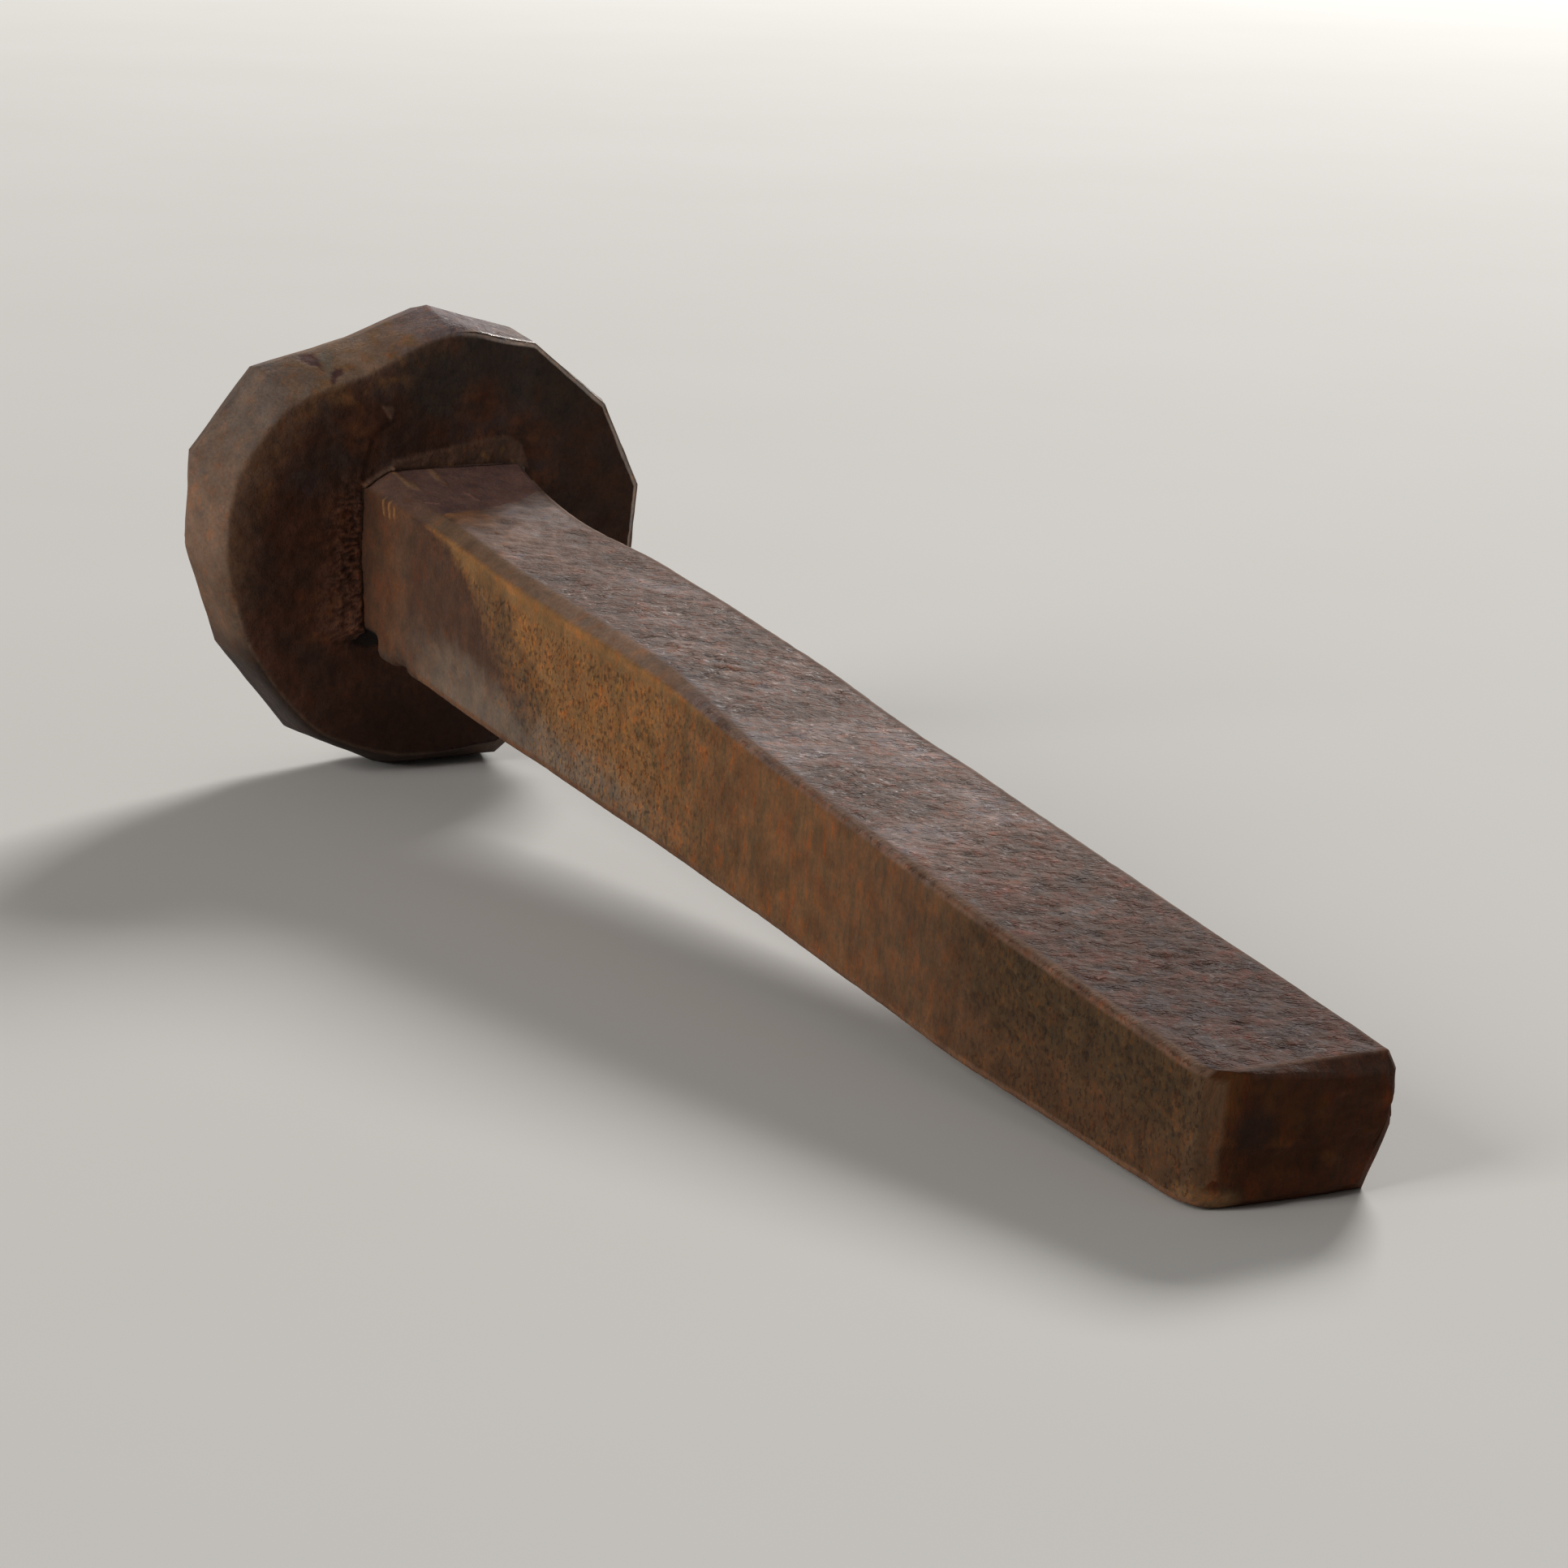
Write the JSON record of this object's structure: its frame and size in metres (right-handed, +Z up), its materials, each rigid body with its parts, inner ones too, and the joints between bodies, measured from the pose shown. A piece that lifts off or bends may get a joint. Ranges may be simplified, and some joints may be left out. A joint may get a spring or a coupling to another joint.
{
  "type": "rail spike",
  "caption": "Hand-forged spike with a round hammered head and a square shank drawn down to a blunt chisel tip, lying at rest.",
  "frame": {"origin": "middle of the bounding box, on the surface that the spike lies on", "axes": "+X along the ground from the head towards the tip, +Z up; the spike rests on one facet of its head's rim and on its tip, so its own axis dips a little towards +X"},
  "size_m": [0.1666, 0.0468, 0.0468],
  "materials": {
    "rusted_shank": "hot-forged, rusted and pitted, orange rust on the near flank and worn grey-brown scale on top",
    "rusted_head": "hammered and rusted, dark red-brown under the head and grey-tan on the rim"
  },
  "bodies": {
    "root": {"shank": "rusted_shank", "head": "rusted_head"}
  },
  "joints": []
}
